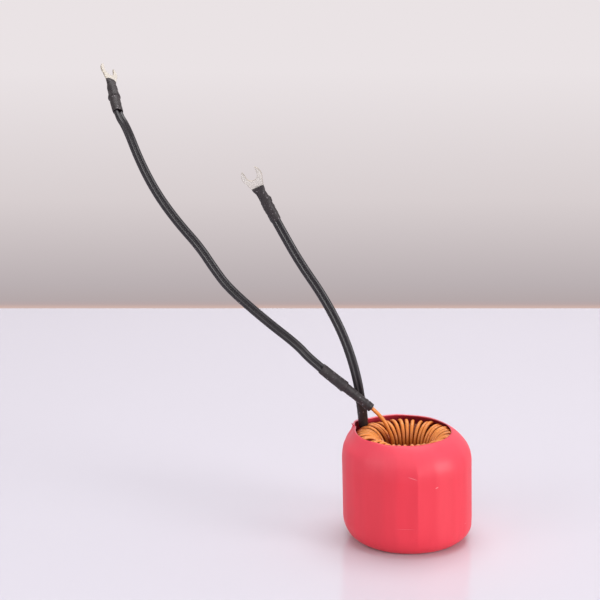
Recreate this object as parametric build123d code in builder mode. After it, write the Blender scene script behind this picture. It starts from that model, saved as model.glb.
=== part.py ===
import os
from math import cos, pi, radians, sin, sqrt, tan

from build123d import *

os.makedirs("parts", exist_ok=True)

# Frame: origin at the middle of the base, +Z up, +X right and +Y away as seen from the front.
# Lengths are millimetres and angles are degrees.

# Shrink jacket: red film drawn over the wound ring, with a mouth at the top and a hole below
jacket_diameter = 60.0
rim_height = 52.0
film_thickness = 0.5
shoulder_radius = 16.4
rim_angle = 56.0
shoulder_steps = 5
base_corner_reach = 8.8
base_corner_height = 11.3
base_corner_steps = 5
base_hole_radius = 16.5
mouth_drift = -2.4
drift_power = 2.0
lip_bulge = 3.7
bulge_azimuth = 148.0
bulge_half_width = 20.0
overrun = 1.0

# Creases of the film, between the flats where it bridges groups of turns
crease_azimuths = (
    5, 20, 36, 52, 66, 82, 97, 112, 127, 141, 155, 169,
    184, 199, 213, 227, 246, 258, 276, 294, 312, 331, 350,
)

# Winding: one layer of enamelled wire, drawn as a six-sided bar of the same area
wire_diameter = 1.75
wire_sides = 6
turn_count = 43
first_turn_azimuth = 149.5
last_bore_azimuth = 145.4
turn_gap = 0.06
winding_clearance = 0.15
core_clearance = 0.1
lip_above_turns = 1.04
top_shoulder_height = 15.5
base_shoulder_height = 12.0
bore_corner_height = 10.5
crest_share = 0.41
turn_shoulder_steps = 3
turn_corner_steps = 2

# Last wire: azimuth and height where it climbs the bore, then points on to the long splice
tail_climb = [(145.0, 18.0), (134.0, 42.0)]
tail_points = [(-8.3, 6.9, 48.8), (-11.4, 6.1, 55.0)]

# Leads: flat twin flex, each route running from its splice to its terminal
flex_width = 4.1
flex_thickness = 2.05
flex_sides = 12
arc_share = 0.45
long_route = [
    (-34.4, 2.6, 76.1),
    (-44.9, 1.7, 85.0),
    (-50.9, 0.8, 92.3),
    (-64.9, -0.2, 103.8),
    (-81.6, -1.5, 119.2),
    (-88.3, -2.5, 128.8),
    (-94.5, -3.5, 139.0),
    (-104.2, -4.8, 150.7),
    (-113.1, -5.8, 163.8),
    (-120.2, -6.4, 178.3),
    (-125.7, -5.8, 193.4),
    (-129.7, -1.1, 198.1),
    (-131.9, 7.0, 204.3),
]
short_route = [
    (-20.4, 11.7, 54.0),
    (-21.9, 7.2, 69.3),
    (-28.5, 6.0, 92.9),
    (-38.5, 5.6, 112.9),
    (-49.6, 5.0, 129.5),
    (-56.7, 4.3, 142.3),
    (-63.5, 3.7, 155.2),
]

# Splices: the wire soldered to the flex, under heat-shrink sleeves, measured from the flex end
sleeve_clearance = 0.08
joint_radius = 1.5
long_joint_length = 16.0
short_joint_length = 3.6
thin_sleeve_wall = 0.42
thin_sleeve_start = 0.3
thin_sleeve_mouth = 23.0
fat_sleeve_wall = 0.45
fat_sleeve_start = -7.3
fat_sleeve_end = 7.0
short_sleeve_wall = 0.3
short_sleeve_start = -9.2
short_sleeve_mouth = 4.6
wire_lead_in = 1.0

# Fork terminals: tinned copper, a rolled barrel that flattens into a U fork
fork_width = 9.5
slot_width = 5.5
fork_thickness = 0.8
fork_tip_radius = 0.2
fork_outline_drop = 0.7
fork_flank_angle = 30.0
barrel_radius = 1.8
barrel_start = 1.5
barrel_length = 6.0
neck_length = 2.5
neck_width = 4.0
conductor_radius = 0.9
conductor_length = 7.0
crimp_clearance = 0.03
terminal_sleeve_wall = 0.4
terminal_sleeve_start = -6.4
terminal_sleeve_end = 11.0
mouth_width_share = 1.2
slot_beyond_sleeve = 3.5
fork_turns = {"long": 62.0, "short": -9.5}

# Sizes that follow from those above
jacket_radius = jacket_diameter / 2
shoulder_start = rim_height - shoulder_radius * sin(radians(rim_angle))
crease_gaps = [
    (after - before) % 360
    for before, after in zip(crease_azimuths, crease_azimuths[1:] + crease_azimuths[:1])
]
inner_flat_radius = jacket_radius * cos(radians(max(crease_gaps) / 2)) - film_thickness

wire_corner_radius = wire_diameter / 2 * sqrt(pi / (wire_sides / 2 * sin(2 * pi / wire_sides)))
wire_flat_width = 2 * wire_corner_radius * cos(pi / wire_sides)
turn_pitch = (360 + last_bore_azimuth - first_turn_azimuth) / (turn_count - 1 / 2)
bore_run_radius = (wire_flat_width + turn_gap) / radians(turn_pitch)
outer_run_radius = inner_flat_radius - winding_clearance - wire_corner_radius
crest_radius = bore_run_radius + crest_share * (outer_run_radius - bore_run_radius)
tail_radius = bore_run_radius - 2 * wire_corner_radius - turn_gap
loop_top = rim_height - lip_above_turns - wire_corner_radius
loop_bottom = film_thickness + winding_clearance + wire_corner_radius


def polar_point(radius, azimuth, height):
    return Vector(radius * cos(radians(azimuth)), radius * sin(radians(azimuth)), height)


def inward_run(level, shoulder_height, corner_height):
    """One turn's way from the outer side over its crest to the bore, as radius and height."""
    stations = []
    for step in range(turn_shoulder_steps + 1):
        angle = pi / 2 * step / turn_shoulder_steps
        radius = crest_radius + (outer_run_radius - crest_radius) * cos(angle)
        stations.append((radius, level + shoulder_height * (1 - sin(angle))))
    for step in range(1, turn_corner_steps + 1):
        angle = pi / 2 * step / turn_corner_steps
        radius = crest_radius - (crest_radius - bore_run_radius) * sin(angle)
        stations.append((radius, level + corner_height * (1 - cos(angle))))
    return stations


def axis_plane(origin, direction, turn=0):
    """Plane across a lead, its Z along the lead and its X level with the front."""
    normal = Vector(direction).normalized()
    level = Vector(0, 1, 0).cross(normal).normalized()
    across = level * cos(radians(turn)) + normal.cross(level) * sin(radians(turn))
    return Plane(origin=origin, x_dir=across, z_dir=normal)


def add_bar(plane, start, end, radius):
    with BuildSketch(plane.offset(start)) as section:
        Circle(radius)
    extrude(section.sketch, amount=end - start)


def add_tube(plane, start, end, inner_radius, wall):
    with BuildSketch(plane.offset(start)) as section:
        Circle(inner_radius + wall)
        Circle(inner_radius, mode=Mode.SUBTRACT)
    extrude(section.sketch, amount=end - start)


def save(builder, name):
    builder.part.label = name
    export_step(builder.part, f"parts/{name}.step")


lower_run = inward_run(loop_bottom, base_shoulder_height, bore_corner_height)
upper_run = inward_run(loop_top, -top_shoulder_height, -bore_corner_height)

# Ring core, with the outline of the turns that lie on it
with BuildPart() as toroid_core:
    with BuildSketch(Plane.XZ):
        with BuildLine():
            Polyline(lower_run + upper_run[::-1], close=True)
        make_face()
        offset(
            amount=-(wire_corner_radius + core_clearance),
            kind=Kind.INTERSECTION,
            mode=Mode.REPLACE,
        )
    revolve(axis=Axis.Z)
save(toroid_core, "toroid_core")

# Splice planes: Z points from the end of the flex to the wire
routes = {"long": long_route, "short": short_route}
joint_lengths = {"long": long_joint_length, "short": short_joint_length}
splice_planes = {}
terminal_planes = {}
for name, route in routes.items():
    splice_planes[name] = axis_plane(route[0], Vector(route[0]) - Vector(route[1]))
    terminal_planes[name] = axis_plane(
        route[-1], Vector(route[-1]) - Vector(route[-2]), fork_turns[name]
    )


def splice_point(name, reach):
    return splice_planes[name].from_local_coords(Vector(0, 0, reach))


# Winding: from the short splice down the outside, round the core, and out of the bore to the long one
wire_points = [
    splice_point("short", short_joint_length),
    splice_point("short", short_sleeve_mouth + wire_lead_in),
    polar_point(upper_run[1][0], first_turn_azimuth, upper_run[1][1]),
    polar_point(upper_run[0][0], first_turn_azimuth, upper_run[0][1]),
]
advance_shares = [step / (len(lower_run) - 1) for step in range(len(lower_run))]
for turn in range(turn_count):
    azimuth = first_turn_azimuth + turn * turn_pitch
    for share, (radius, height) in zip(advance_shares, lower_run):
        wire_points.append(polar_point(radius, azimuth + share * turn_pitch / 2, height))
    if turn < turn_count - 1:
        for share, (radius, height) in zip(advance_shares, upper_run[::-1]):
            wire_points.append(polar_point(radius, azimuth + (1 + share) * turn_pitch / 2, height))
wire_points += [polar_point(tail_radius, azimuth, height) for azimuth, height in tail_climb]
wire_points += [Vector(point) for point in tail_points]
wire_points.append(splice_point("long", thin_sleeve_mouth + wire_lead_in))
wire_points.append(splice_point("long", long_joint_length))

with BuildPart() as winding:
    for index, point in enumerate(wire_points):
        before = wire_points[max(index - 1, 0)]
        after = wire_points[min(index + 1, len(wire_points) - 1)]
        along = Vector(0, 0, 0)
        for stretch in (point - before, after - point):
            if stretch.length > 0:
                along += stretch.normalized()
        around = Vector(-point.Y, point.X, 0)
        with BuildSketch(Plane(origin=point, x_dir=around, z_dir=along)):
            RegularPolygon(wire_corner_radius, wire_sides, rotation=180 / wire_sides)
    loft(ruled=True, clean=False)
save(winding, "winding")


# Shrink jacket
def film_station(corner_radius, corner_height, reach, rise, angle):
    """Radius and height of the film at an angle round one of its corners."""
    radius = corner_radius + reach * cos(radians(angle))
    return radius, corner_height + rise * sin(radians(angle))


def film_profile(inset, extra_steps):
    """Stations of the film from its base to its rim, and past the rim by some steps."""
    stations = []
    for step in range(base_corner_steps + 1):
        angle = 90 * step / base_corner_steps - 90
        stations.append(
            film_station(
                jacket_radius - base_corner_reach,
                base_corner_height,
                base_corner_reach - inset,
                base_corner_height - inset,
                angle,
            )
        )
    reach = shoulder_radius - inset
    for step in range(shoulder_steps + 1 + extra_steps):
        angle = rim_angle * step / shoulder_steps
        stations.append(
            film_station(jacket_radius - shoulder_radius, shoulder_start, reach, reach, angle)
        )
    return stations


def film_ring(radius, height):
    """Corner points of the film at a height, drifting aside and bulging towards the rim."""
    lift_share = max(0, (height - shoulder_start) / (rim_height - shoulder_start))
    aside = mouth_drift * lift_share**drift_power
    points = []
    for azimuth in crease_azimuths:
        off_bulge = abs((azimuth - bulge_azimuth + 180) % 360 - 180)
        bulge_share = cos(pi / 2 * min(1, off_bulge / bulge_half_width)) ** 2
        point = polar_point(radius + lip_bulge * lift_share * bulge_share, azimuth, height)
        points.append((point.X + aside, point.Y))
    return points


with BuildPart() as shrink_jacket:
    for inset, extra_steps, mode in ((0, 0, Mode.ADD), (film_thickness, 1, Mode.SUBTRACT)):
        for radius, height in film_profile(inset, extra_steps):
            with BuildSketch(Plane.XY.offset(height)):
                Polygon(*film_ring(radius, height), align=None)
        loft(ruled=True, clean=False, mode=mode)
    with BuildSketch(Plane.XY.offset(-overrun)):
        Circle(base_hole_radius)
    extrude(amount=film_thickness + 2 * overrun, mode=Mode.SUBTRACT)
save(shrink_jacket, "shrink_jacket")


# Leads
def route_radii(route):
    """Largest arc that each corner of a route has room for."""
    radii = []
    for before, point, after in zip(route, route[1:], route[2:]):
        run_in = Vector(point) - Vector(before)
        run_out = Vector(after) - Vector(point)
        half_turn = radians(run_in.get_angle(run_out)) / 2
        radii.append(arc_share * min(run_in.length, run_out.length) / tan(half_turn))
    return radii


flex_corners = []
for corner in range(flex_sides):
    angle = 2 * pi * corner / flex_sides
    flex_corners.append((flex_width / 2 * cos(angle), flex_thickness / 2 * sin(angle)))

for name, route in routes.items():
    radii = route_radii(route)
    with BuildPart() as lead:
        with BuildLine() as path:
            FilletPolyline(*route, radius=radii)
        with BuildSketch(axis_plane(route[0], Vector(route[1]) - Vector(route[0]))) as section:
            Polygon(*flex_corners, align=None)
        sweep()
    save(lead, f"lead_{name}")
    print(f"lead_{name} radii", [round(radius, 1) for radius in radii])
    print(f"lead_{name} length {path.wire().length:.1f}", end=", ")
    print(f"volume {lead.part.volume:.1f}, section times length", end=" ")
    print(f"{section.sketch.area * path.wire().length:.1f}")

# Solder joints, from the end of each flex to the wire
for name, plane in splice_planes.items():
    with BuildPart() as solder_joint:
        add_bar(plane, 0, joint_lengths[name], joint_radius)
    save(solder_joint, f"solder_joint_{name}")

# Heat-shrink sleeves over the splices
flex_fit_radius = flex_width / 2 + sleeve_clearance
with BuildPart() as splice_sleeve_thin:
    add_tube(
        splice_planes["long"],
        thin_sleeve_start,
        thin_sleeve_mouth,
        joint_radius + sleeve_clearance,
        thin_sleeve_wall,
    )
save(splice_sleeve_thin, "splice_sleeve_thin")

with BuildPart() as splice_sleeve_fat:
    add_tube(
        splice_planes["long"], fat_sleeve_start, fat_sleeve_end, flex_fit_radius, fat_sleeve_wall
    )
save(splice_sleeve_fat, "splice_sleeve_fat")

with BuildPart() as splice_sleeve_short:
    add_tube(
        splice_planes["short"],
        short_sleeve_start,
        short_sleeve_mouth,
        flex_fit_radius,
        short_sleeve_wall,
    )
save(splice_sleeve_short, "splice_sleeve_short")

# Terminals: bared conductor, fork and heat-shrink sleeve, measured from the flex end
barrel_end = barrel_start + barrel_length
neck_end = barrel_end + neck_length
slot_centre = terminal_sleeve_end + slot_beyond_sleeve + slot_width / 2
fork_radius = fork_width / 2
flank_half_width = fork_radius * cos(radians(fork_flank_angle))
flank_drop = fork_outline_drop + fork_radius * sin(radians(fork_flank_angle))
neck_drop = slot_centre - neck_end
sleeve_end_share = (terminal_sleeve_end - neck_end) / (neck_drop - flank_drop)
sleeve_end_half_width = neck_width / 2 + sleeve_end_share * (flank_half_width - neck_width / 2)
mouth_height_share = 1 / sqrt(1 - 1 / mouth_width_share**2)
flat_half_height = mouth_height_share * fork_thickness / 2 + sleeve_clearance
neck_fit_half_width = mouth_width_share * neck_width / 2 + sleeve_clearance
mouth_half_width = mouth_width_share * sleeve_end_half_width + sleeve_clearance
sleeve_stations = (
    (terminal_sleeve_start, flex_fit_radius, flex_fit_radius),
    (barrel_start, flex_fit_radius, flex_fit_radius),
    (barrel_end, barrel_radius + sleeve_clearance, barrel_radius + sleeve_clearance),
    (neck_end, neck_fit_half_width, flat_half_height),
    (terminal_sleeve_end, mouth_half_width, flat_half_height),
)

for name, plane in terminal_planes.items():
    with BuildPart() as conductor:
        add_bar(plane, crimp_clearance, conductor_length, conductor_radius)
    save(conductor, f"conductor_{name}")

    with BuildPart() as fork_terminal:
        add_bar(plane, barrel_start, barrel_end, barrel_radius)
        with BuildSketch(plane.offset(barrel_end)):
            Circle(barrel_radius)
        with BuildSketch(plane.offset(neck_end)):
            Ellipse(neck_width / 2, fork_thickness / 2)
        loft()
        with BuildSketch(plane.offset(barrel_start)):
            Circle(conductor_radius + crimp_clearance)
        extrude(amount=conductor_length + crimp_clearance - barrel_start, mode=Mode.SUBTRACT)
        slot_point = plane.from_local_coords(Vector(0, 0, slot_centre))
        with BuildSketch(Plane(origin=slot_point, x_dir=plane.x_dir, z_dir=-plane.y_dir)) as outline:
            with Locations((0, -fork_outline_drop)):
                Circle(fork_radius)
            with BuildLine():
                Polyline(
                    (-neck_width / 2, -neck_drop),
                    (neck_width / 2, -neck_drop),
                    (flank_half_width, -flank_drop),
                    (-flank_half_width, -flank_drop),
                    close=True,
                )
            make_face()
            Circle(slot_width / 2, mode=Mode.SUBTRACT)
            with Locations((0, fork_radius / 2)):
                Rectangle(slot_width, fork_radius, mode=Mode.SUBTRACT)
            fillet(outline.vertices().group_by(Axis.Y)[-1], fork_tip_radius)
        extrude(amount=fork_thickness / 2, both=True)
    save(fork_terminal, f"fork_terminal_{name}")

    with BuildPart() as terminal_sleeve:
        for wall, mode in ((terminal_sleeve_wall, Mode.ADD), (0, Mode.SUBTRACT)):
            for reach, half_width, half_height in sleeve_stations:
                with BuildSketch(plane.offset(reach)):
                    Ellipse(half_width + wall, half_height + wall)
            loft(ruled=True, mode=mode)
    save(terminal_sleeve, f"terminal_sleeve_{name}")
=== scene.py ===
from math import copysign, cos, pi, radians, sin
from random import Random

import bpy
from mathutils import Matrix, Vector, noise


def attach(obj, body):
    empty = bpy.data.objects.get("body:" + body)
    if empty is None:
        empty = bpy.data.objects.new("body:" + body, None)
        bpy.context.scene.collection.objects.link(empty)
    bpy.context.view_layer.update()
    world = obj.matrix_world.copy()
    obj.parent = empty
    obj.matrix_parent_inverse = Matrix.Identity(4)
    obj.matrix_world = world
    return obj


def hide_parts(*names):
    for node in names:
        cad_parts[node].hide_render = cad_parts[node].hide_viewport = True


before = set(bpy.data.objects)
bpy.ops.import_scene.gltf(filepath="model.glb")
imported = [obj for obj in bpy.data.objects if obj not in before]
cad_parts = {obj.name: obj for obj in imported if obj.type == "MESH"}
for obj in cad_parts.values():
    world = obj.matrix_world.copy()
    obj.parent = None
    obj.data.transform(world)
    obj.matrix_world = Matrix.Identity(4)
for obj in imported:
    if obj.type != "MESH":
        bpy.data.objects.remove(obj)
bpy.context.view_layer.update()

# Ring core: thin silicon-steel strip wound into a ring, its corners rounded by a coat of varnish.
# The turns hide it, and only the slits between them show its dark side.
mm = 0.001


def linear(colour):
    """An sRGB hex colour as linear red, green, blue and alpha."""
    channels = [int(colour[start:start + 2], 16) / 255 for start in (1, 3, 5)]
    return [c / 12.92 if c <= 0.04045 else ((c + 0.055) / 1.055) ** 2.4 for c in channels] + [1.0]


def add_node(tree, kind, inputs=None, **settings):
    """A shader node with its settings, its input values and its links."""
    node = tree.nodes.new("ShaderNode" + kind)
    for name, value in settings.items():
        setattr(node, name, value)
    for name, value in (inputs or {}).items():
        if isinstance(value, bpy.types.NodeSocket):
            tree.links.new(value, node.inputs[name])
        else:
            node.inputs[name].default_value = value
    return node


def start_material(name):
    """A material, its node tree, its surface shader and its place in the part."""
    material = bpy.data.materials.new(name)
    material.use_nodes = True
    tree = material.node_tree
    place = add_node(tree, "TexCoord").outputs["Object"]
    return material, tree, tree.nodes["Principled BSDF"], place


def across_mm(size):
    """Texture scale at which a pattern repeats about once in a size in millimetres."""
    return 1 / (size * mm)


# Varnished steel strip: dull red-brown, with the strip's edges as fine rings of tone
steel, tree, surface, place = start_material("varnished_steel_strip")
strips = add_node(
    tree,
    "TexWave",
    {"Vector": place, "Scale": across_mm(1.2), "Distortion": 1.5, "Detail": 2.0},
    wave_type="RINGS",
    rings_direction="Z",
)
strip_tone = add_node(
    tree,
    "Mix",
    {0: strips.outputs["Fac"], 6: linear("#7a2409"), 7: linear("#983c14")},
    data_type="RGBA",
)
tree.links.new(strip_tone.outputs[2], surface.inputs["Base Color"])
surface.inputs["Roughness"].default_value = 0.6
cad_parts["toroid_core"].data.materials.clear()
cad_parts["toroid_core"].data.materials.append(steel)

# Winding: one layer of thick copper wire in orange enamel, threaded through the ring by hand.
# The turns crowd in the bore, fan out over the crest, and stand a little uneven where they were
# pulled tight.
wire_radius = 0.89
turn_count = 43
first_azimuth = 149.5
last_azimuth = 145.4
turn_pitch = (360 + last_azimuth - first_azimuth) / (turn_count - 0.5)
bore_radius = 11.81
outer_radius = 27.8
crest_radius = 18.44
loop_top = 50.0
loop_bottom = 1.61
top_shoulder = 15.5
base_shoulder = 12.0
bore_corner = 10.5
tail_radius = 9.82
tail_room_azimuth = 147.5
tail_room_half = 8.3
closing_reach = 42
closing_lean = 4.2
back_lean = 4.0
side_unrest = 1.3
sway_spread = 1.1
lift_low, lift_high = -0.35, 0.25
left_push = 1.5
short_end = Vector((-20.4, 11.7, 54.0))
short_axis = (short_end - Vector((-21.9, 7.2, 69.3))).normalized()
long_end = Vector((-34.4, 2.6, 76.1))
long_axis = (long_end - Vector((-44.9, 1.7, 85.0))).normalized()


def polar(radius, azimuth, height):
    """The point at a radius, azimuth and height about the ring's axis."""
    return Vector((radius * cos(radians(azimuth)), radius * sin(radians(azimuth)), height))


def inward_run(level, shoulder, corner, shoulder_steps, corner_steps):
    """One turn's way from the outer side over its crest to the bore, as radius and height."""
    stations = []
    for step in range(shoulder_steps + 1):
        angle = pi / 2 * step / shoulder_steps
        radius = crest_radius + (outer_radius - crest_radius) * cos(angle)
        stations.append((radius, level + shoulder * (1 - sin(angle))))
    for step in range(1, corner_steps + 1):
        angle = pi / 2 * step / corner_steps
        radius = crest_radius - (crest_radius - bore_radius) * sin(angle)
        stations.append((radius, level + corner * (1 - cos(angle))))
    return stations


def top_sway(azimuth):
    """Degrees by which turns lean apart at the back, and close up where the ends leave room."""
    off = (azimuth - tail_room_azimuth + 180) % 360 - 180
    fading = max(0.0, 1 - (abs(off) - tail_room_half) / closing_reach)
    return -copysign(closing_lean, off) * fading + back_lean * sin(radians(2 * (azimuth - 90)))


def smooth_line(points, steps):
    """A line that passes smoothly through points, with some steps between each two."""
    line = []
    for index in range(len(points) - 1):
        before = points[max(index - 1, 0)]
        start, end = points[index], points[index + 1]
        after = points[min(index + 2, len(points) - 1)]
        for step in range(steps):
            t = step / steps
            square = (2 * before - 5 * start + 4 * end - after) * t**2
            cube = (3 * start - before - 3 * end + after) * t**3
            line.append(0.5 * (2 * start + (end - before) * t + square + cube))
    return line + [points[-1]]


def frames_along(line, across):
    """At each point of a line: the point, the direction across and the direction over it."""
    frames = []
    for index, point in enumerate(line):
        along = (line[min(index + 1, len(line) - 1)] - line[max(index - 1, 0)]).normalized()
        side = (across[index] - along * across[index].dot(along)).normalized()
        frames.append((point, side, along.cross(side)))
    return frames


def skin(frames, sections, closed=False):
    """Points and faces of a skin over a section at each frame, capped unless it is closed."""
    count = len(sections[0])
    points = [
        centre + side * x + over * y
        for (centre, side, over), section in zip(frames, sections)
        for x, y in section
    ]
    faces = []
    for ring in range(len(frames) if closed else len(frames) - 1):
        here, there = ring * count, (ring + 1) % len(frames) * count
        for corner in range(count):
            after = (corner + 1) % count
            faces.append((here + corner, here + after, there + after, there + corner))
    if not closed:
        faces.append(tuple(range(count))[::-1])
        faces.append(tuple((len(frames) - 1) * count + corner for corner in range(count)))
    return points, faces


def new_piece(name, points, faces, material, slot, *nodes):
    """A smooth piece from points in millimetres, riding on the part in place of its nodes."""
    mesh = bpy.data.meshes.new(name)
    mesh.from_pydata([point * mm for point in points], [], faces)
    mesh.validate()
    mesh.shade_smooth()
    mesh.materials.append(material)
    piece = bpy.data.objects.new(name, mesh)
    bpy.context.scene.collection.objects.link(piece)
    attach(piece, "root")
    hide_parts(*nodes)
    return piece


lower = inward_run(loop_bottom, base_shoulder, bore_corner, 5, 4)
upper = inward_run(loop_top, -top_shoulder, -bore_corner, 9, 8)[::-1]
hand = Random(11)
wire = smooth_line(
    [
        short_end + short_axis * 3.6,
        short_end + short_axis * 5.6,
        polar(26.7, first_azimuth, 42.2),
        polar(outer_radius, first_azimuth, 34.5),
    ],
    5,
)[:-1]
for turn in range(turn_count):
    azimuth = first_azimuth + turn * turn_pitch
    for index, (radius, height) in enumerate(lower):
        share = index / (len(lower) - 1)
        wire.append(polar(radius, azimuth + share * turn_pitch / 2, height))
    if turn == turn_count - 1:
        break
    top_azimuth = azimuth + 0.75 * turn_pitch
    unruly = 1.0 + side_unrest * abs(cos(radians(top_azimuth)))
    sway = top_sway(top_azimuth) + unruly * hand.uniform(-sway_spread, sway_spread)
    lift = unruly * hand.uniform(lift_low, lift_high)
    for index, (radius, height) in enumerate(upper):
        share = index / (len(upper) - 1)
        loose = sin(pi * share) ** 2
        turned = azimuth + (1 + share) * turn_pitch / 2 + sway * loose
        pushed = left_push * max(0.0, -cos(radians(turned))) ** 2 * loose
        wire.append(polar(radius + pushed, turned, height + lift * loose))
wire += smooth_line(
    [
        wire[-1] + Vector((0, 0, 2.0)),
        polar(tail_radius, 145.0, 18.0),
        polar(tail_radius, 140.0, 31.0),
        polar(tail_radius, 134.0, 42.0),
        Vector((-8.3, 6.9, 48.8)),
        Vector((-11.4, 6.1, 55.0)),
        long_end + long_axis * 24.0,
        long_end + long_axis * 20.0,
        long_end + long_axis * 16.0,
    ],
    6,
)
around_ring = [Vector((-point.y, point.x, 0)) for point in wire]
wire_sides = 12
round_wire = [
    (wire_radius * cos(2 * pi * side / wire_sides), wire_radius * sin(2 * pi * side / wire_sides))
    for side in range(wire_sides)
]

# Orange enamel over copper: clear gloss on a warm coat, deeper here and there along the wire,
# with painted shade that darkens it to dark red in the slits between turns and down in the bore
enamel, tree, surface, place = start_material("enamelled_copper_wire")
cloud = add_node(tree, "TexNoise", {"Vector": place, "Scale": across_mm(6.0), "Detail": 3.0})
enamel_tone = add_node(
    tree,
    "Mix",
    {0: cloud.outputs["Fac"], 6: linear("#e47e28"), 7: linear("#f9a250")},
    data_type="RGBA",
)
# Painted shade: an occlusion mask blends the enamel towards dark red where the wire is hemmed in
crevice = add_node(tree, "AmbientOcclusion", {"Distance": 25.0 * mm}, samples=8)
open_share = add_node(
    tree, "MapRange", {"Value": crevice.outputs["AO"], "From Min": 0.18, "From Max": 0.64}
)
bore_shade_tone = add_node(
    tree,
    "Mix",
    {0: open_share.outputs["Result"], 6: linear("#8c1e05"), 7: enamel_tone.outputs[2]},
    data_type="RGBA",
)
tree.links.new(bore_shade_tone.outputs[2], surface.inputs["Base Color"])
drawn = add_node(tree, "TexNoise", {"Vector": place, "Scale": across_mm(0.9), "Detail": 2.0})
ripple = add_node(
    tree, "Bump", {"Height": drawn.outputs["Fac"], "Strength": 0.12, "Distance": 0.1 * mm}
)
tree.links.new(ripple.outputs["Normal"], surface.inputs["Normal"])
surface.inputs["Roughness"].default_value = 0.35
surface.inputs["IOR"].default_value = 1.55
points, faces = skin(frames_along(wire, around_ring), [round_wire] * len(wire))
new_piece("wound_wire", points, faces, enamel, "enamelled_copper", "winding")

# Leads: flat twin flex, two stranded cores side by side in one extruded black sheath with a groove.
# Both stand up from their splices by their own stiffness, and bend where they were handled.
lobe_radius = 1.15
lobe_offset = 1.05
web_half = 0.5
long_route = [
    (-34.4, 2.6, 76.1),
    (-44.9, 1.7, 85.0),
    (-50.9, 0.8, 92.3),
    (-64.9, -0.2, 103.8),
    (-81.6, -1.5, 119.2),
    (-88.3, -2.5, 128.8),
    (-94.5, -3.5, 139.0),
    (-104.2, -4.8, 150.7),
    (-113.1, -5.8, 163.8),
    (-120.2, -6.4, 178.3),
    (-125.7, -5.8, 193.4),
    (-129.7, -1.1, 198.1),
    (-131.9, 7.0, 204.3),
]
short_route = [
    (-20.4, 11.7, 54.0),
    (-21.9, 7.2, 69.3),
    (-28.5, 6.0, 92.9),
    (-38.5, 5.6, 112.9),
    (-49.6, 5.0, 129.5),
    (-56.7, 4.3, 142.3),
    (-63.5, 3.7, 155.2),
]
lobe = [
    (lobe_offset + lobe_radius * cos(radians(a)), lobe_radius * sin(radians(a)))
    for a in range(-140, 141, 14)
]
twin_section = lobe + [(0, web_half)] + [(-x, -y) for x, y in lobe] + [(0, -web_half)]

# Plasticised PVC sheath: satin black, dusted by handling, with a faint waviness from the die
sheath, tree, surface, place = start_material("extruded_black_pvc")
dust = add_node(tree, "TexNoise", {"Vector": place, "Scale": across_mm(4.0), "Detail": 5.0})
dust_tone = add_node(
    tree,
    "Mix",
    {0: dust.outputs["Fac"], 6: linear("#110d10"), 7: linear("#251e23")},
    data_type="RGBA",
)
tree.links.new(dust_tone.outputs[2], surface.inputs["Base Color"])
haze = add_node(
    tree, "MapRange", {"Value": dust.outputs["Fac"], "To Min": 0.34, "To Max": 0.46}
)
tree.links.new(haze.outputs["Result"], surface.inputs["Roughness"])
die = add_node(tree, "TexNoise", {"Vector": place, "Scale": across_mm(0.8), "Detail": 2.0})
die_lines = add_node(
    tree, "Bump", {"Height": die.outputs["Fac"], "Strength": 0.1, "Distance": 0.1 * mm}
)
tree.links.new(die_lines.outputs["Normal"], surface.inputs["Normal"])
surface.inputs["IOR"].default_value = 1.53

leads, paths = {}, {}
for name, route, rolls in (
    ("long", long_route, (36, 38, 40, 40, 38, 36, 36, 38, 40, 42, 46, 54, 62)),
    ("short", short_route, (16, 18, 20, 22, 24, 26, 24)),
):
    curve = bpy.data.curves.new("route", "CURVE")
    curve.dimensions = "3D"
    spline = curve.splines.new("NURBS")
    spline.points.add(len(route) - 1)
    for control, spot in zip(spline.points, route):
        control.co = (*(Vector(spot) * mm), 1)
    spline.order_u = 3
    spline.use_endpoint_u = True
    spline.resolution_u = 10
    holder = bpy.data.objects.new("route", curve)
    unbevelled = bpy.data.meshes.new_from_object(holder)
    path = [vertex.co.copy() for vertex in unbevelled.vertices]
    bpy.data.objects.remove(holder)
    bpy.data.meshes.remove(unbevelled)
    line = [point / mm for point in path]
    across = []
    for index in range(len(line)):
        along = (line[min(index + 1, len(line) - 1)] - line[max(index - 1, 0)]).normalized()
        where = index / (len(line) - 1) * (len(rolls) - 1)
        low = min(int(where), len(rolls) - 2)
        roll = rolls[low] + (rolls[low + 1] - rolls[low]) * (where - low)
        level = Vector((0, 1, 0)).cross(along).normalized()
        across.append(Matrix.Rotation(radians(roll), 3, along) @ level)
    points, faces = skin(frames_along(line, across), [twin_section] * len(line))
    leads[name] = new_piece(f"{name}_lead", points, faces, sheath, "black_pvc", f"lead_{name}")
    paths[name] = path

# Splices: each end of the wire is soldered to a flex, under sleeves of black heat-shrink.
# The long one has a thin sleeve on the joint and a fat one over that and the flex.
# The short one has a single sleeve.

# Dull solder: grey metal, frosted in fine grains
solder, tree, surface, place = start_material("dull_solder")
frost = add_node(tree, "TexNoise", {"Vector": place, "Scale": across_mm(0.7), "Detail": 4.0})
frost_tone = add_node(
    tree,
    "Mix",
    {0: frost.outputs["Fac"], 6: linear("#8d8d8b"), 7: linear("#c9c8c4")},
    data_type="RGBA",
)
tree.links.new(frost_tone.outputs[2], surface.inputs["Base Color"])
surface.inputs["Metallic"].default_value = 1.0
surface.inputs["Roughness"].default_value = 0.45
for name in ("solder_joint_long", "solder_joint_short"):
    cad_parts[name].data.materials.clear()
    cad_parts[name].data.materials.append(solder)

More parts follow.
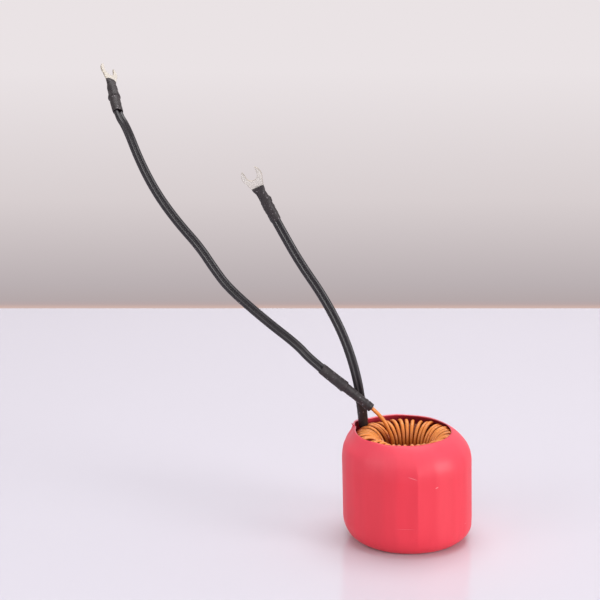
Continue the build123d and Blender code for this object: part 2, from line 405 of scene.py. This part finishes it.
# Polyolefin heat-shrink: matt black skin with fine puckers, greyed in small scuffs
shrink, tree, surface, place = start_material("polyolefin_heat_shrink")
blotch = add_node(tree, "TexNoise", {"Vector": place, "Scale": across_mm(3.5), "Detail": 2.0})
skin_tone = add_node(
    tree,
    "Mix",
    {0: blotch.outputs["Fac"], 6: linear("#1e1819"), 7: linear("#393032")},
    data_type="RGBA",
)
scuff = add_node(tree, "TexVoronoi", {"Vector": place, "Scale": across_mm(2.2)})
scuff_spot = add_node(
    tree,
    "MapRange",
    {"Value": scuff.outputs["Distance"], "From Min": 0.2, "From Max": 0.08, "To Max": 0.7},
)
scuffed = add_node(
    tree,
    "Mix",
    {0: scuff_spot.outputs["Result"], 6: skin_tone.outputs[2], 7: linear("#857c80")},
    data_type="RGBA",
)
tree.links.new(scuffed.outputs[2], surface.inputs["Base Color"])
grain = add_node(tree, "TexNoise", {"Vector": place, "Scale": across_mm(0.5), "Detail": 4.0})
puckers = add_node(
    tree, "Bump", {"Height": grain.outputs["Fac"], "Strength": 0.25, "Distance": 0.15 * mm}
)
tree.links.new(puckers.outputs["Normal"], surface.inputs["Normal"])
surface.inputs["Roughness"].default_value = 0.55
surface.inputs["IOR"].default_value = 1.5


def walk(line, distance):
    """The point at a distance along a line from its start."""
    for start, end in zip(line, line[1:]):
        step = (end - start).length
        if distance <= step:
            return start.lerp(end, distance / step)
        distance -= step
    return line[-1]


def shrink_sleeve(name, flex, axis, across, stations, wall, wrinkle, node):
    """A sleeve from the flex, where its reach is negative, on along an axis past the flex's end.

    The flex is a line from that end back. Stations are reach, half width, half height and shift.
    """
    count, rings = 36, 72
    edge_rounding = 0.35
    pucker_radius = 2.2
    centres, outer, inner = [], [], []
    for ring in range(rings + 1):
        reach = stations[0][0] + (stations[-1][0] - stations[0][0]) * ring / rings
        last = next(i for i in range(1, len(stations)) if reach <= stations[i][0] + 1e-6)
        low, high = stations[last - 1], stations[last]
        t = (reach - low[0]) / (high[0] - low[0])
        t = t * t * (3 - 2 * t)
        half_width, half_height, shift = (low[i] + (high[i] - low[i]) * t for i in (1, 2, 3))
        centres.append(flex[0] + axis * reach if reach >= 0 else walk(flex, -reach))
        edge = min(1.0, ring / 2, (rings - ring) / 2)
        rounding = edge_rounding * wall * (1 - edge)
        out_ring, in_ring = [], []
        for step in range(count):
            way = polar(pucker_radius, 360 * step / count, reach) + flex[0]
            pucker = wrinkle * (noise.noise(way * 0.9) + 0.5 * noise.noise(way * 2.1))
            x, y = cos(2 * pi * step / count), sin(2 * pi * step / count)
            for sections, depth in ((out_ring, rounding), (in_ring, wall - rounding)):
                grown = pucker - depth
                sections.append((shift + (half_width + grown) * x, (half_height + grown) * y))
        outer.append(out_ring)
        inner.append(in_ring)
    frames = frames_along(centres, [across] * (rings + 1))
    points, faces = skin(frames + frames[::-1], outer + inner[::-1], closed=True)
    return new_piece(name, points, faces, shrink, "black_shrink", node)


long_flex = [point / mm for point in paths["long"]]
short_flex = [point / mm for point in paths["short"]]
long_level = Vector((0, 1, 0)).cross(-long_axis).normalized()
short_level = Vector((0, 1, 0)).cross(-short_axis).normalized()
long_across = Matrix.Rotation(radians(-36), 3, long_axis) @ long_level
short_across = Matrix.Rotation(radians(-16), 3, short_axis) @ short_level
thin_sleeve = shrink_sleeve(
    "thin_splice_sleeve",
    long_flex,
    long_axis,
    long_across,
    [
        (0.3, 2.0, 1.95, 0),
        (8.0, 2.2, 2.1, 0),
        (14.0, 2.08, 2.02, 0),
        (18.6, 1.95, 1.95, 0),
        (19.3, 2.12, 2.12, 0),
        (20.3, 1.98, 1.98, 0),
        (21.2, 2.12, 2.12, 0),
        (22.2, 2.02, 2.02, 0),
        (23.0, 2.15, 2.15, 0),
    ],
    wall=0.42,
    wrinkle=0.1,
    node="splice_sleeve_thin",
)
fat_sleeve = shrink_sleeve(
    "fat_splice_sleeve",
    long_flex,
    long_axis,
    long_across,
    [
        (-7.3, 2.6, 1.65, 0),
        (-5.5, 2.62, 1.75, 0),
        (0.0, 2.62, 2.2, 0),
        (4.5, 2.64, 2.55, 0),
        (7.0, 2.72, 2.68, 0),
    ],
    wall=0.4,
    wrinkle=0.1,
    node="splice_sleeve_fat",
)
short_sleeve = shrink_sleeve(
    "short_splice_sleeve",
    short_flex,
    short_axis,
    short_across,
    [(-9.2, 2.42, 1.5, 0), (-4.0, 2.34, 1.75, 0), (1.0, 2.28, 2.2, 0), (4.6, 2.25, 2.25, 0)],
    wall=0.3,
    wrinkle=0.1,
    node="splice_sleeve_short",
)

# Fork terminals: tinned copper sheet, stamped to a U and rolled to a barrel on the bared strands.
# The barrel is crimped, and black heat-shrink covers it and the neck up to the foot of the fork.

# Bare copper strands: red-brown metal with the slant lines of the twist
strands, tree, surface, place = start_material("bare_copper_strands")
twist = add_node(
    tree,
    "TexWave",
    {"Vector": place, "Scale": across_mm(1.0), "Distortion": 2.0},
    bands_direction="DIAGONAL",
)
strand_tone = add_node(
    tree,
    "Mix",
    {0: twist.outputs["Fac"], 6: linear("#6b3a22"), 7: linear("#c47a4e")},
    data_type="RGBA",
)
tree.links.new(strand_tone.outputs[2], surface.inputs["Base Color"])
surface.inputs["Metallic"].default_value = 1.0
surface.inputs["Roughness"].default_value = 0.4
for name in ("conductor_long", "conductor_short"):
    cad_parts[name].data.materials.clear()
    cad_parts[name].data.materials.append(strands)

# Bright tin plate: warm silver, softly clouded by tarnish and handling
tin, tree, surface, place = start_material("tinned_copper")
tarnish = add_node(tree, "TexNoise", {"Vector": place, "Scale": across_mm(5.0), "Detail": 1.0})
tin_tone = add_node(
    tree,
    "Mix",
    {0: tarnish.outputs["Fac"], 6: linear("#ebe5d9"), 7: linear("#f5f1e8")},
    data_type="RGBA",
)
tree.links.new(tin_tone.outputs[2], surface.inputs["Base Color"])
rub = add_node(tree, "TexNoise", {"Vector": place, "Scale": across_mm(4.0), "Detail": 1.0})
rub_shine = add_node(
    tree, "MapRange", {"Value": rub.outputs["Fac"], "To Min": 0.42, "To Max": 0.5}
)
tree.links.new(rub_shine.outputs["Result"], surface.inputs["Roughness"])
surface.inputs["Metallic"].default_value = 1.0

# Sheared edge of the sheet: duller and darker than the plated faces, with drag marks of the die
sheared, tree, surface, place = start_material("sheared_copper_edge")
drag = add_node(tree, "TexNoise", {"Vector": place, "Scale": across_mm(0.6), "Detail": 3.0})
drag_tone = add_node(
    tree,
    "Mix",
    {0: drag.outputs["Fac"], 6: linear("#b9afa2"), 7: linear("#cfc6b9")},
    data_type="RGBA",
)
tree.links.new(drag_tone.outputs[2], surface.inputs["Base Color"])
surface.inputs["Metallic"].default_value = 1.0
surface.inputs["Roughness"].default_value = 0.55

fork_half = 4.75
fork_centre = 16.55
slot_half = 2.75
slot_centre = 17.25
sheet = 0.8
edge_round = 0.14
neck_half = 2.2
neck_reach = 9.5
fork_edge = [(neck_half, neck_reach), (2.9, 11.0), (3.55, 12.6)]
fork_edge += [
    (fork_half * cos(radians(a)), fork_centre + fork_half * sin(radians(a)))
    for a in range(-36, 49, 7)
]
fork_edge += [(3.05, 19.6), (2.85, 18.5)]
fork_edge += [
    (slot_half * cos(radians(a)), slot_centre + slot_half * sin(radians(a)))
    for a in range(0, -90, -10)
]
fork_outline = fork_edge + [(0, slot_centre - slot_half)]
fork_outline += [(-x, y) for x, y in reversed(fork_edge)]

# Below the neck the sheet curls into the barrel: reach, half width and share of a full roll
curl_steps = 16
full_roll = 0.97 * pi
curl_rows = [
    (8.4, 2.0, 0.25),
    (7.0, 2.55, 0.5),
    (6.0, 3.2, 0.75),
    (5.0, 3.96, 1.0),
    (1.5, 3.96, 1.0),
]
stamping = [(x, y, 0) for x, y in fork_outline]
row = [len(stamping) - 1, *range(len(stamping), len(stamping) + curl_steps - 1), 0]
for step in range(1, curl_steps):
    stamping.append((neck_half * (2 * step / curl_steps - 1), neck_reach, 0))
stamped_faces = [tuple(range(len(stamping)))]
for reach, half, share in curl_rows:
    curl = full_roll * share
    roll_radius = half / curl
    next_row = range(len(stamping), len(stamping) + curl_steps + 1)
    for step in range(curl_steps + 1):
        angle = curl * (2 * step / curl_steps - 1)
        rise = roll_radius * ((1 + cos(curl)) / 2 - cos(angle))
        stamping.append((roll_radius * sin(angle), reach, rise))
    for step in range(curl_steps):
        stamped_faces.append((row[step + 1], row[step], next_row[step], next_row[step + 1]))
    row = next_row
sleeve_stations = {
    "long": [
        (-8.8, 2.65, 2.05, 0),
        (-4.0, 2.58, 2.15, 0),
        (-0.9, 2.5, 2.25, 0),
        (-0.4, 2.52, 2.35, 0),
        (0.1, 2.82, 2.78, 0),
        (1.0, 2.72, 2.66, 0),
        (2.2, 2.35, 2.3, 0),
        (4.0, 2.3, 2.25, 0),
        (6.0, 2.4, 2.2, -0.1),
        (8.0, 2.3, 1.7, 0),
        (10.0, 2.75, 1.3, 0),
        (11.0, 2.95, 1.25, 0),
    ],
    "short": [
        (-6.4, 2.5, 1.8, 0),
        (-2.6, 2.5, 1.9, 0.12),
        (-1.0, 2.54, 2.2, 0.09),
        (0.3, 2.65, 2.3, 0.1),
        (1.8, 2.5, 2.3, 0.06),
        (2.8, 2.72, 2.35, 0.3),
        (4.2, 2.7, 2.3, 0.5),
        (5.6, 2.3, 2.15, 0.2),
        (8.0, 2.33, 1.7, 0.05),
        (10.2, 2.95, 1.3, -0.1),
        (11.0, 3.05, 1.25, -0.05),
    ],
}
for name, route, flex, turn, splice in (
    ("long", long_route, long_flex[::-1], 62.0, [thin_sleeve, fat_sleeve]),
    ("short", short_route, short_flex[::-1], -9.5, [short_sleeve]),
):
    axis = (Vector(route[-1]) - Vector(route[-2])).normalized()
    level = Vector((0, 1, 0)).cross(axis).normalized()
    across = Matrix.Rotation(radians(turn), 3, axis) @ level
    over = axis.cross(across)
    points = [flex[0] + axis * y + across * x + over * z for x, y, z in stamping]
    fork = new_piece(
        f"{name}_fork",
        points,
        stamped_faces,
        tin,
        "tinned_copper",
        f"fork_terminal_{name}",
    )
    fork.data.shade_flat()
    fork.data.materials.append(sheared)
    thick = fork.modifiers.new("sheet", "SOLIDIFY")
    thick.thickness = sheet * mm
    thick.offset = 0.0
    thick.material_offset_rim = 1
    rounded = fork.modifiers.new("stamped_edge", "BEVEL")
    rounded.width = edge_round * mm
    rounded.segments = 2
    rounded.limit_method = "ANGLE"
    rounded.material = 1
    sleeve = shrink_sleeve(
        f"{name}_terminal_sleeve",
        flex,
        axis,
        across,
        sleeve_stations[name],
        wall=0.4,
        wrinkle=0.13,
        node=f"terminal_sleeve_{name}",
    )
    path = paths[name]

# Shrink jacket: red heat-shrink film drawn over the wound ring and shrunk tight, open at both ends.
# It bridges groups of turns in flats, sharpest at the front, and its cut rim stands a little
# proud of the turns.
jacket_radius = 30.0
rim_height = 52.0
shoulder_start = 38.4
film = 0.5
shoulder_radius = 16.4
rim_angle = 56.0
base_reach = 8.8
base_rise = 11.3
base_hole = 16.5
bulge_out = 2.8
bulge_azimuth = 148.0
bulge_half = 22
dent_in = 1.8
ridge_out = 0.55
heel_out = 0.7
wave_out = 0.12
rim_unrest = 0.35
nib_azimuth = 162
nib_start = 51.0
mouth_drift = 2.4
side_lean = 0.025
front_crease = 276
front_flats = (258, front_crease, 294)
creases = (
    5, 20, 36, 52, 66, 82, 97, 112, 127, 141, 155, 169,
    184, 199, 213, 227, 246, 258, front_crease, 294, 312, 331, 350, 365,
)


def off_angle(azimuth, middle):
    """Degrees between two azimuths."""
    return abs((azimuth - middle + 180) % 360 - 180)


def flatness(azimuth):
    """Share of the radius left where the film runs straight from crease to crease."""
    azimuth = (azimuth - creases[0]) % 360 + creases[0]
    high = next(crease for crease in creases[1:] if azimuth <= crease)
    half = (high - creases[creases.index(high) - 1]) / 2
    flat = cos(radians(half)) / cos(radians(azimuth - high + half))
    return 1 - (1.0 if high in front_flats else 0.6) * (1 - flat)


def film_point(radius, azimuth, height):
    """Where the film is, with its flats, its lean to one side and the push of the short splice."""
    lift = min(1.0, max(0.0, (height - shoulder_start) / (rim_height - shoulder_start)))
    wall = sin(pi * min(1.0, height / rim_height)) ** 0.6
    soft = 0.4 + 0.8 * min(1.0, off_angle(azimuth, front_crease) / 6)
    flat = sum(flatness(azimuth + soft * step) for step in (-2, -1, 0, 1, 2)) / 5
    bulge_off = off_angle(azimuth, bulge_azimuth) / bulge_half
    bulge = bulge_out * lift * cos(pi / 2 * min(1.0, bulge_off)) ** 2
    dent = dent_in * max(0.0, -cos(radians(azimuth))) ** 2
    dent *= cos(pi / 2 * min(1.0, abs(lift - 0.8) / 0.4)) ** 2
    beside = (front_crease - azimuth) % 360
    ridge = ridge_out * max(0.0, 1 - min(beside / 15, (360 - beside) / 18)) ** 2
    ridge *= max(0.0, min(1.0, (height - 11) / 6, (46 - height) / 6))
    heel = heel_out * max(0.0, cos(radians(azimuth + 15))) ** 2
    heel *= sin(pi * min(1.0, height / 10)) ** 2
    wave = wave_out * lift * noise.noise(polar(3.0, azimuth, 0))
    nib = max(0.0, 1 - off_angle(azimuth, nib_azimuth) / 3) * max(0.0, height - nib_start)
    out = radius * (1 - wall * (1 - flat)) + bulge + wave + 1.5 * nib + ridge + heel - dent
    point = polar(out, azimuth, height + 0.7 * nib)
    point.x -= mouth_drift * lift**2 + side_lean * (min(height, 40.0) - 22.0)
    at_rim = max(0.0, height - 50.5) / 1.5
    point.z += rim_unrest * noise.noise(polar(2.2, azimuth, 4.0)) * at_rim
    return point


def film_line(inset):
    """Radius and height of the film from the base hole to the rim."""
    stations = [(base_hole, inset), (base_hole + 2.4, inset)]
    for step in range(15):
        angle = radians(90 * step / 14 - 90)
        radius = jacket_radius - base_reach + (base_reach - inset) * cos(angle)
        stations.append((radius, base_rise + (base_rise - inset) * sin(angle)))
    stations += [(jacket_radius - inset, z) for z in (14.0, 18.0, 22.0, 26.0, 30.0, 34.0)]
    reach = shoulder_radius - inset
    for step in range(17):
        angle = radians(rim_angle * step / 16)
        radius = jacket_radius - shoulder_radius + reach * cos(angle)
        stations.append((radius, shoulder_start + reach * sin(angle)))
    return stations


columns = 480
outside = film_line(0)
inside = film_line(film)
points = []
for radius, height in outside + inside[::-1]:
    points += [film_point(radius, 360 * c / columns, height) for c in range(columns)]
rings = len(outside) + len(inside)
faces = []
for ring in range(rings):
    here, there = ring * columns, (ring + 1) % rings * columns
    for c in range(columns):
        after = (c + 1) % columns
        faces.append((here + c, here + after, there + after, there + c))

# Polyolefin film: satin red, faintly streaked up and down by the shrinking, with pale scratches.
# A painted sheen makes it paler over the shoulder, towards the top.
film_red, tree, surface, place = start_material("red_shrink_film")
drawn_out = add_node(tree, "Mapping", {"Vector": place, "Scale": (1.0, 1.0, 0.12)})
streaks = add_node(
    tree,
    "TexNoise",
    {"Vector": drawn_out.outputs["Vector"], "Scale": across_mm(3.0), "Detail": 4.0},
)
film_tone = add_node(
    tree,
    "Mix",
    {0: streaks.outputs["Fac"], 6: linear("#e83143"), 7: linear("#f0394c")},
    data_type="RGBA",
)
up = add_node(tree, "SeparateXYZ", {"Vector": place})
# Painted sheen: the film's colour pales with height over the shoulder
shoulder_sheen_mask = add_node(
    tree,
    "MapRange",
    {"Value": up.outputs["Z"], "From Min": 36.0 * mm, "From Max": 48.0 * mm, "To Max": 0.42},
)
sheen_tinted = add_node(
    tree,
    "Mix",
    {0: shoulder_sheen_mask.outputs["Result"], 6: film_tone.outputs[2], 7: linear("#f2586c")},
    data_type="RGBA",
)
tone = sheen_tinted.outputs[2]
for spot, tilt, reach, strength in (
    ((0.7, -29.6, 38.9), 16.5, (2.6, 2.0, 0.2), 0.5),
    ((11.7, -27.4, 33.7), -25.0, (0.9, 1.5, 0.3), 0.6),
    ((25.8, -14.9, 12.0), 0.0, (0.4, 1.0, 0.4), 0.5),
    ((-2.3, -29.3, 14.7), 0.0, (5.6, 2.0, 0.15), 0.2),
):
    scratch = add_node(
        tree,
        "Mapping",
        {
            "Vector": place,
            "Location": Vector(spot) * mm,
            "Rotation": (0, radians(tilt), 0),
            "Scale": Vector(reach) * mm,
        },
        vector_type="TEXTURE",
    )
    far = add_node(tree, "VectorMath", {0: scratch.outputs["Vector"]}, operation="LENGTH")
    inside_it = add_node(
        tree,
        "MapRange",
        {"Value": far.outputs["Value"], "From Min": 1.0, "From Max": 0.5, "To Max": strength},
    )
    scratched = add_node(
        tree,
        "Mix",
        {0: inside_it.outputs["Result"], 6: tone, 7: linear("#f6a9b0")},
        data_type="RGBA",
    )
    tone = scratched.outputs[2]
tree.links.new(tone, surface.inputs["Base Color"])
peel = add_node(tree, "TexNoise", {"Vector": place, "Scale": across_mm(0.9), "Detail": 2.0})
peel_bump = add_node(
    tree, "Bump", {"Height": peel.outputs["Fac"], "Strength": 0.06, "Distance": 0.2 * mm}
)
tree.links.new(peel_bump.outputs["Normal"], surface.inputs["Normal"])
surface.inputs["Roughness"].default_value = 0.48
surface.inputs["IOR"].default_value = 1.5
jacket = new_piece("shrink_film", points, faces, film_red, "red_film", "shrink_jacket")

# Film rim: its cut edge is painted paler than the film's face, as a painted highlight along the lip
rim_lit_material, tree, surface, place = start_material("film_rim_painted_highlight")
lip_tone_noise = add_node(tree, "TexNoise", {"Vector": place, "Scale": across_mm(1.2), "Detail": 3.0})
# Painted highlight: a pale pink tone, varied along the rim, on the rim's faces only
lip_highlight_mix = add_node(
    tree,
    "Mix",
    {0: lip_tone_noise.outputs["Fac"], 6: linear("#e4566a"), 7: linear("#f7a0aa")},
    data_type="RGBA",
)
tree.links.new(lip_highlight_mix.outputs[2], surface.inputs["Base Color"])
surface.inputs["Roughness"].default_value = 0.5
surface.inputs["IOR"].default_value = 1.5
jacket.data.materials.append(rim_lit_material)
rim_face = (len(outside) - 1) * columns
for polygon in jacket.data.polygons[rim_face:rim_face + columns]:
    polygon.material_index = 1

# Table and wall: a pale glossy table top, and a plain wall some way behind its far edge.
# The wall grows darker down to the table, where a warm line of light shows.
table_edge = 0.415
wall_back = 1.2
floor_mesh = bpy.data.meshes.new("table_top")
floor_mesh.from_pydata(
    [(-3, -2, 0), (3, -2, 0), (3, table_edge, 0), (-3, table_edge, 0)], [], [(0, 1, 2, 3)]
)
table_top = bpy.data.objects.new("table_top", floor_mesh)
bpy.context.scene.collection.objects.link(table_top)

# Pale laminate: a cool off-white, glossy enough to mirror the foot of the part
laminate, tree, surface, place = start_material("pale_laminate")
surface.inputs["Base Color"].default_value = linear("#dcd8e2")
surface.inputs["Roughness"].default_value = 0.16
surface.inputs["IOR"].default_value = 1.46
floor_mesh.materials.append(laminate)

wall_mesh = bpy.data.meshes.new("wall")
wall_mesh.from_pydata(
    [(-4, wall_back, -2), (4, wall_back, -2), (4, wall_back, 3), (-4, wall_back, 3)],
    [],
    [(0, 1, 2, 3)],
)
wall = bpy.data.objects.new("wall", wall_mesh)
bpy.context.scene.collection.objects.link(wall)

# Wall paint: plain grey, with painted shade darker down to the table, a painted warm line of light
# along the table, and paler upwards
paint, tree, surface, place = start_material("grey_wall_paint")
rise = add_node(tree, "SeparateXYZ", {"Vector": place})
climb = add_node(
    tree, "MapRange", {"Value": rise.outputs["Z"], "From Min": -0.2078, "From Max": 0.06}
)
shade = add_node(tree, "ValToRGB", {"Fac": climb.outputs["Result"]})
steps = shade.color_ramp.elements
steps[0].color = linear("#d4bab2")
steps[1].color = linear("#eae3e5")
for share, colour in (
    (0.0075, "#ccb1aa"),
    (0.0195, "#b9a7a7"),
    (0.037, "#b5a9aa"),
    (0.104, "#bab0b2"),
    (0.468, "#d8cfd0"),
):
    steps.new(share).color = linear(colour)
# The wall shows this painted ramp as its own glow to the camera and in reflections
glow = add_node(tree, "Emission", {"Color": shade.outputs["Color"], "Strength": 1.0})
ray = add_node(tree, "LightPath")
direct = add_node(
    tree, "Math", {0: ray.outputs["Is Camera Ray"], 1: ray.outputs["Is Glossy Ray"]}
)
seen = add_node(
    tree, "Math", {0: direct.outputs["Value"], 1: ray.outputs["Is Transmission Ray"]}
)
flat_wall = add_node(tree, "BsdfDiffuse", {"Color": shade.outputs["Color"]})
mixed = add_node(
    tree,
    "MixShader",
    {0: seen.outputs["Value"], 1: flat_wall.outputs["BSDF"], 2: glow.outputs["Emission"]},
)
tree.links.new(mixed.outputs["Shader"], tree.nodes["Material Output"].inputs["Surface"])
wall_mesh.materials.append(paint)

# Light: large soft sources above and to the right, and weak ones in front and to the left.
# An even room fills the shadows.
world = bpy.data.worlds.new("room")
world.use_nodes = True
world.node_tree.nodes["Background"].inputs["Color"].default_value = linear("#f4f2f6")
world.node_tree.nodes["Background"].inputs["Strength"].default_value = 0.4
bpy.context.scene.world = world
for name, spot, aim, size, power in (
    ("top_softbox", (0.1, 0.2, 1.2), (0, 0, 0), 1.0, 9.1),
    ("right_softbox", (1.55, -0.88, 0.42), (0, 0, 0.03), 0.8, 18.8),
    ("front_softbox", (-0.1, -1.1, 0.8), (0, 0, 0.05), 0.8, 2.2),
    ("left_softbox", (-0.9, -0.6, 0.4), (-0.05, 0, 0.1), 0.8, 3.3),
):
    lamp = bpy.data.lights.new(name, "AREA")
    lamp.shape = "DISK"
    lamp.size = size
    lamp.energy = power
    source = bpy.data.objects.new(name, lamp)
    source.location = spot
    source.rotation_euler = (Vector(aim) - Vector(spot)).to_track_quat("-Z", "Y").to_euler()
    bpy.context.scene.collection.objects.link(source)

# Camera: in front and above the leads, with a long lens that looks a little down.
# The view shows colours as they are.
camera_data = bpy.data.cameras.new("camera")
camera_data.sensor_fit = "HORIZONTAL"
camera_data.sensor_width = 36.0
camera_data.lens = 110.0
camera_pitch = 14.55
camera = bpy.data.objects.new("camera", camera_data)
camera.location = Vector((-49.7, -801.7, 321.7)) * mm
camera.rotation_euler = (radians(90 - camera_pitch), 0, 0)
bpy.context.scene.collection.objects.link(camera)
bpy.context.scene.camera = camera
bpy.context.scene.view_settings.view_transform = "Standard"
